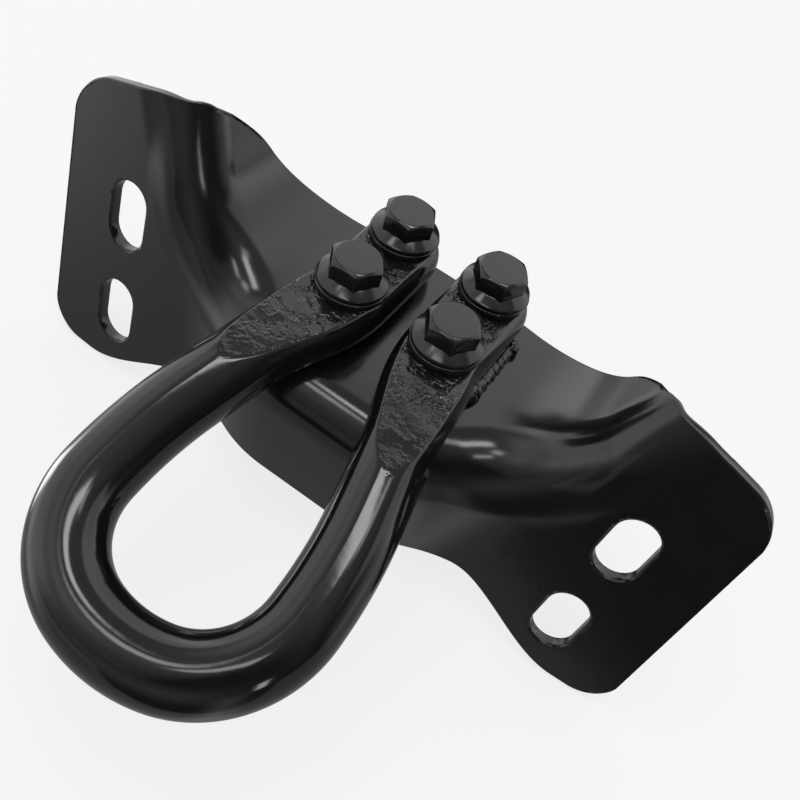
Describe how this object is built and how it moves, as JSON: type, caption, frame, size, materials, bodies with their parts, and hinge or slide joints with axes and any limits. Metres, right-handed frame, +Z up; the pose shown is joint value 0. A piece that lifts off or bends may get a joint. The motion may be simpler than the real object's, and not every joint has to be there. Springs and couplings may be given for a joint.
{
  "type": "recovery tow hook",
  "caption": "Forged round-bar tow loop with flattened pads, bolted and welded to a pressed steel bracket with slotted wings.",
  "frame": {"origin": "midway between the four bolts, on the flat top of the loop's two pads", "axes": "+X across the vehicle to the right of someone facing the bracket's front, -Y forward along the pull, towards the loop, +Z up along the bolts"},
  "size_m": [0.2796, 0.1981, 0.1177],
  "materials": {
    "bracket_paint": "gloss black paint",
    "loop_paint": "gloss black paint over a forged bar",
    "bolt_coating": "gloss black paint over plated fasteners"
  },
  "bodies": {
    "root": {"bracket": "bracket_paint", "tow_loop": "loop_paint", "flange_bolts": "bolt_coating", "washers": "bolt_coating", "flange_nuts": "bolt_coating", "weld_beads": "bracket_paint"}
  },
  "joints": []
}
